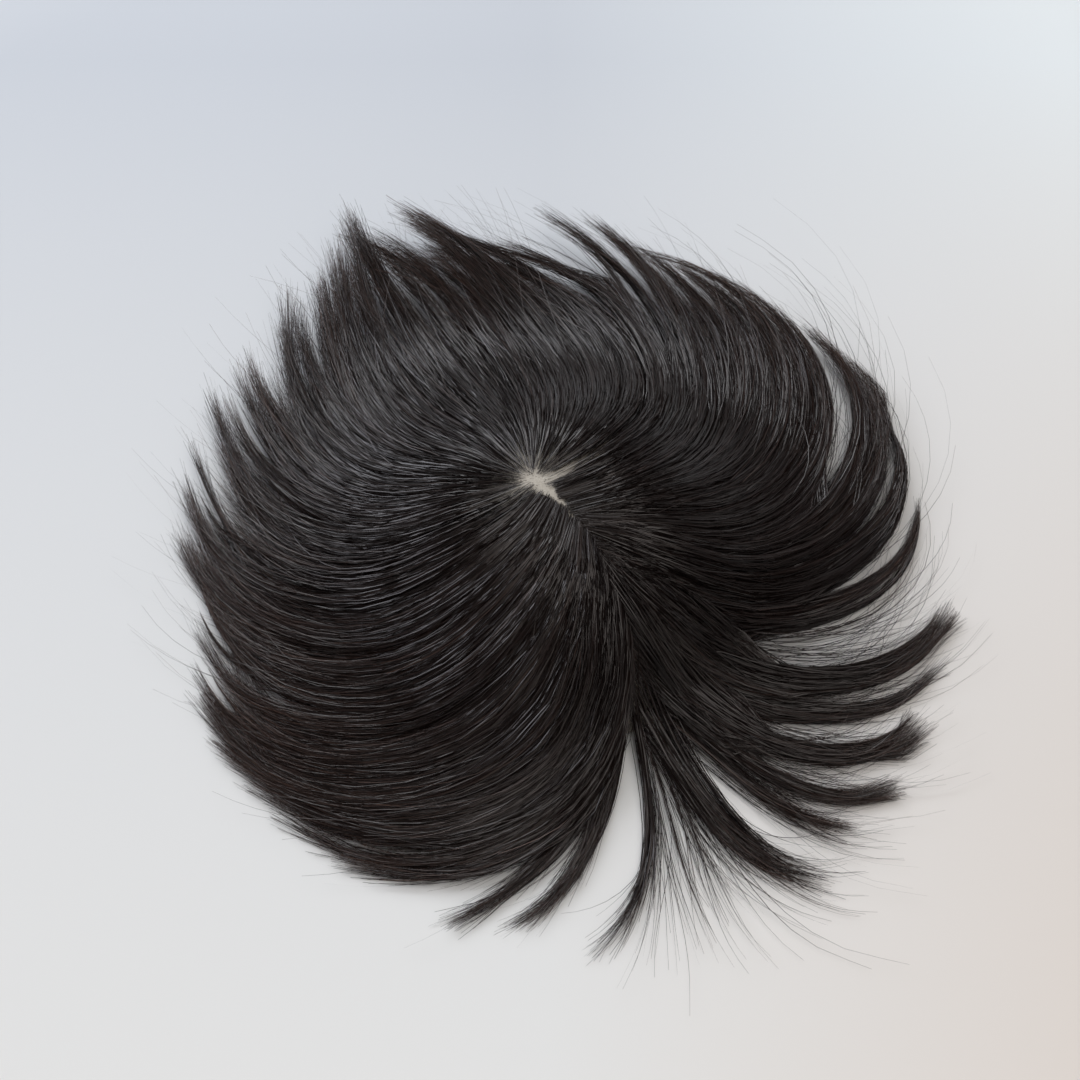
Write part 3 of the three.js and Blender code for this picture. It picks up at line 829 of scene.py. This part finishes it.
def tapering(arc, tip):
    """The width of hairs along their length, in shares: thin at the root and at the tip."""
    step = np.linspace(0, 1, arc.shape[1])
    return mix(ROOT_THINNING, 1, ease(arc, 0, ROOT_THIN_FOR)) * mix(1, tip, ease(step, 0.5, 1))


def top_hairs(lock):
    row = dict(zip(COLUMNS, locks[lock]))
    hairs = max(8, round(TOP_HAIRS * row["width"] * row["fullness"]))
    points, arc, tone = lock_paths(lock, hairs, TOP_STATIONS, True)
    half = rng.uniform(*TOP_HALF_WIDTHS, len(tone))[:, None] * tapering(arc, TOP_TIP_WIDTH)
    return ribbons(points, half, tone)


def deep_hairs(lock):
    row = dict(zip(COLUMNS, locks[lock]))
    hairs = max(1, round(DEEP_HAIRS * row["width"] * row["fullness"]))
    points, arc, tone = lock_paths(lock, hairs, DEEP_STATIONS, False)
    radius = rng.uniform(*DEEP_RADII, len(tone))[:, None] * tapering(arc, DEEP_TIP_WIDTH)
    points[..., 2] = np.maximum(points[..., 2], radius + OVER_TABLE)
    # painted shade: the deep hairs' tone is darkened because they lie under other hair
    return tubes(points, radius, tone * PAINTED_SHADE_IN_DEPTH)


print(TOP_HAIRS, "fine and", DEEP_HAIRS, "thicker hairs to a full lock width")

# %% [markdown]
# ## Stray hairs
# A few hundred hairs don't keep to their lock. They stand alone between the locks of the fringe, cross
# the clefts, and run on past the tips in their own curves. They are what makes hair look like hair.

# %% Single stray hairs
STRAY_STATIONS = 15
STRAY_HALF_WIDTH = 0.00011
STRAY_STARTS, STRAY_SIDES, STRAY_LEVELS = (0.05, 0.4), (-0.6, 0.6), (0.2, 1.15)
STRAY_TONE, STRAY_LIFT = (0.42, 0.15), (1.2, 0.0012)


def stray_hairs(low, high, count, reach, turn=9.0):
    """Thin hairs with places in the table from low to high, bowed by turn degrees or so."""
    places = rng.uniform(low, high, count)
    step = np.linspace(0, 1, STRAY_STATIONS)[None, :]
    start = rng.uniform(*STRAY_STARTS, count)[:, None]
    share = mix(start, rng.uniform(*reach, count)[:, None], step)
    side = rng.uniform(*STRAY_SIDES, count)[:, None]
    level = rng.uniform(*STRAY_LEVELS, count)[:, None] * ease(step, -0.02, 0.15)
    points = hair_points(places, share, side, level, np.full(count, 0.001))
    bow = np.radians(np.clip(rng.normal(0, turn, count), -2 * turn, 2 * turn))[:, None]
    row = rows_at(places)
    heading = headings(row, np.clip(share, 0, 1))
    off = bow * row["length"] * LOCK_LENGTH * ease(share, 0.3, 1.2) ** 1.5 * 0.7
    points[..., 0] -= off * np.sin(heading)
    points[..., 1] += off * np.cos(heading)
    points[..., 2] += rng.gamma(*STRAY_LIFT, count)[:, None] * ease(share, 0.5, 1)
    half = STRAY_HALF_WIDTH * rng.uniform(0.7, 1.3, count)[:, None]
    half = half * mix(1, TOP_TIP_WIDTH, ease(step, 0.5, 1))
    kept = inside_limit(points)
    tone = np.clip(rng.normal(*STRAY_TONE, kept.sum()), 0, 1)
    return ribbons(points[kept], half[kept], tone)


STRAYS = {
    # from and to which place in the table, how many, and where they end in shares of the length
    "fringe_hair": [(0.2, 2.0, 35, (0.75, 1.1)), (1.9, 3.2, 95, (0.7, 1.08))],
    "front_right_hair": [(3.6, 8.4, 210, (0.8, 1.12)), (8.3, 8.9, 25, (0.8, 1.1))],
    "right_hair": [(10.4, 11.2, 50, (0.8, 1.05))],
}
print(sum(group[2] for groups in STRAYS.values() for group in groups), "strays stand in chosen places")

# %% [markdown]
# ## Making the sections
# Each section's hairs become one mesh that rides on the body and takes the place of the solid section
# of the frame. Every section gets strays all over, and the ones at the back and left get more of them.

# %% Make the sections
STRAYS_A_SECTION, STRAYS_IN_FRINGE, STRAYS_AT_BACK = 110, 25, 130
STRAY_TURN_AT_BACK, STRAY_TURN_IN_PLACES = 15.0, 13.0
PAST_SECTION = 0.4

for number, section in enumerate(SECTIONS):
    of_section = np.flatnonzero(section_of == number)
    low, high = of_section[0] - PAST_SECTION, of_section[-1] + PAST_SECTION
    parts = [grow(lock) for lock in of_section for grow in (top_hairs, deep_hairs)]
    reach = (0.7, 0.95) if "left" in section else (0.8, 1.05)
    count = STRAYS_IN_FRINGE if section == "fringe_hair" else STRAYS_A_SECTION
    parts.append(stray_hairs(low, high, count, reach))
    if section in ("back_hair", "back_left_hair", "left_hair"):
        parts.append(stray_hairs(low, high, STRAYS_AT_BACK, (0.8, 1.0), STRAY_TURN_AT_BACK))
    for low, high, count, reach in STRAYS.get(section, []):
        parts.append(stray_hairs(low, high, count, reach, STRAY_TURN_IN_PLACES))
    piece = joined_piece(section.replace("_hair", "_strands"), parts, hair_finish)
    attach(piece, "root")
    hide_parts(section)

# %% [markdown]
# ## The base
# The base is seen only at the whorl, as a small pale patch between the roots. The CAD node has the
# right form, so it stays and gets the finish of fine lace over skin-coloured film, with the small dark
# knots that tie the hairs in. The lace is drawn by the edges between random cells.

# %% Lace finish of the base
LACE_SCALE, CLOUD_SCALE, KNOT_SCALE = 900.0, 90.0, 800.0
THREAD, KNOT = (0.02, 0.12, 1.0, 0.0), (0.14, 0.3, 0.9, 0.0)
FILM_DARK, FILM_LIGHT = (0.38, 0.335, 0.28, 1), (0.51, 0.465, 0.4, 1)
KNOT_COLOUR, THREAD_COLOUR = (0.03, 0.02, 0.016, 1), (0.31, 0.265, 0.22, 1)
THREAD_COVER, THREAD_STRENGTH, THREAD_HEIGHT = 0.5, 0.35, 0.0003


def lace_colours(material):
    place = node(material, "ShaderNodeTexCoord", output=3)
    at_edges = {"feature": "DISTANCE_TO_EDGE"}
    holes = node(material, "ShaderNodeTexVoronoi", at_edges, {"Vector": place, "Scale": LACE_SCALE})
    cloud = node(material, "ShaderNodeTexNoise", {}, {"Vector": place, "Scale": CLOUD_SCALE, "Detail": 4.0})
    thread = remap(material, holes, *THREAD)
    dots = node(material, "ShaderNodeTexVoronoi", {"feature": "F1"}, {"Vector": place, "Scale": KNOT_SCALE})
    film = blend(material, cloud, FILM_DARK, FILM_LIGHT)
    knotted = blend(material, remap(material, dots, *KNOT), film, KNOT_COLOUR)
    raised = {"Height": thread, "Strength": THREAD_STRENGTH, "Distance": THREAD_HEIGHT}
    return {
        "Base Color": blend(material, thread * THREAD_COVER, knotted, THREAD_COLOUR),
        "Roughness": 0.75 + cloud * 0.2,
        "Normal": node(material, "ShaderNodeBump", {}, raised),
    }


lace_finish = finish("lace_and_film", {"Specular IOR Level": 0.3}, lace_colours)
base_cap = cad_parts["base_cap"]
base_cap.data.materials.clear()
base_cap.data.materials.append(lace_finish)
print("base patch is at", [round(v * 1000, 1) for v in parting_point(0.0)], "mm from the cap's middle")

# %% [markdown]
# ## The table
# The piece lies on a plain pale table. Painted light and shade drift softly across its colour from side
# to side and from front to back: darker and bluish at the back left, and browner at the front right.
# The painted light and shade fade to grey further out, so that the table also looks plain from other sides.

# %% Table
TABLE_SIZE, TABLE_DROP = 3, 0.0002
PAINTED_LIGHT_DEPTH, PAINTED_LIGHT_SIDE, PAINTED_LIGHT_FADE = (-0.22, 0.3), (0.0, 0.28), (0.42, 0.9)
# painted light and shade: the corner colours stand in for the light, darker and bluish at the back left,
# browner at the front right
LEFT_FRONT, LEFT_BACK = (0.83, 0.81, 0.785, 1), (0.535, 0.55, 0.585, 1)
RIGHT_FRONT, RIGHT_BACK = (0.77, 0.655, 0.57, 1), (0.765, 0.785, 0.79, 1)
FAR_GREY = (0.78, 0.78, 0.78, 1)


def table_colours(material):
    place = node(material, "ShaderNodeTexCoord", output=3)
    sideways = node(material, "ShaderNodeSeparateXYZ", {}, {0: place}, output=0)
    depth = node(material, "ShaderNodeSeparateXYZ", {}, {0: place}, output=1)
    distance = node(material, "ShaderNodeVectorMath", {"operation": "LENGTH"}, {0: place}, output=1)
    # painted light and shade, blended from the four corner colours and faded to grey further out
    back = remap(material, depth, *PAINTED_LIGHT_DEPTH, 0.0, 1.0)
    right = remap(material, sideways, *PAINTED_LIGHT_SIDE, 0.0, 1.0)
    on_left = blend(material, back, LEFT_FRONT, LEFT_BACK)
    on_right = blend(material, back, RIGHT_FRONT, RIGHT_BACK)
    far = remap(material, distance, *PAINTED_LIGHT_FADE, 0.0, 1.0)
    return {"Base Color": blend(material, far, blend(material, right, on_left, on_right), FAR_GREY)}


bpy.ops.mesh.primitive_plane_add(size=TABLE_SIZE, location=(0, 0, -TABLE_DROP))
table = bpy.context.object
table.name = "table"
table_finish = finish("pale_table", {"Roughness": 0.7, "Specular IOR Level": 0.3}, table_colours)
table.data.materials.append(table_finish)
print("the table is", TABLE_SIZE, "m wide")

# %% [markdown]
# ## The light
# Soft daylight comes from a window behind, a second and lower window far to the left, and a wide pale
# ceiling, and the room sends a little warm light back from the front. Large area lights give the wide
# gloss on the hair and hardly any shadow. The sky is brighter near the horizon than overhead.

# %% Lights
SKY_COLOUR = (0.95, 0.97, 1.0, 1)
HORIZON, OVERHEAD = (0.05, 0.66), (0.45, 0.13)


def soft_light(name, place, size, power, colour):
    lamp = bpy.data.lights.new(name, "AREA")
    lamp.shape = "DISK"
    lamp.size = size
    lamp.energy = power
    lamp.color = colour
    light = bpy.data.objects.new(name, lamp)
    bpy.context.scene.collection.objects.link(light)
    light.location = place
    light.rotation_euler = (cap_middle - light.location).to_track_quat("-Z", "Y").to_euler()


soft_light("window", (-0.4, 1.4, 1.2), 1.3, 20, (0.9, 0.95, 1.0))
soft_light("ceiling", (0.6, 0.0, 2.1), 2.0, 19, (1.0, 0.99, 0.97))
soft_light("side_window", (-2.6, 1.25, 1.42), 1.8, 46, (0.85, 0.9, 1.0))
soft_light("room", (0.6, -1.6, 1.2), 1.6, 4, (1.0, 0.95, 0.88))

world = bpy.data.worlds.new("daylight")
bpy.context.scene.world = world
world.use_nodes = True
sky = world.node_tree.nodes["Background"].inputs
sky["Color"].default_value = SKY_COLOUR
upward = node(world, "ShaderNodeSeparateXYZ", {}, {0: node(world, "ShaderNodeTexCoord")}, output=2)
glow = remap(world, upward, HORIZON[0], OVERHEAD[0], HORIZON[1], OVERHEAD[1])
world.node_tree.links.new(glow.socket, sky["Strength"])
bpy.context.scene.view_settings.view_transform = "Standard"
print(len(bpy.data.lights), "soft lights and a pale sky")
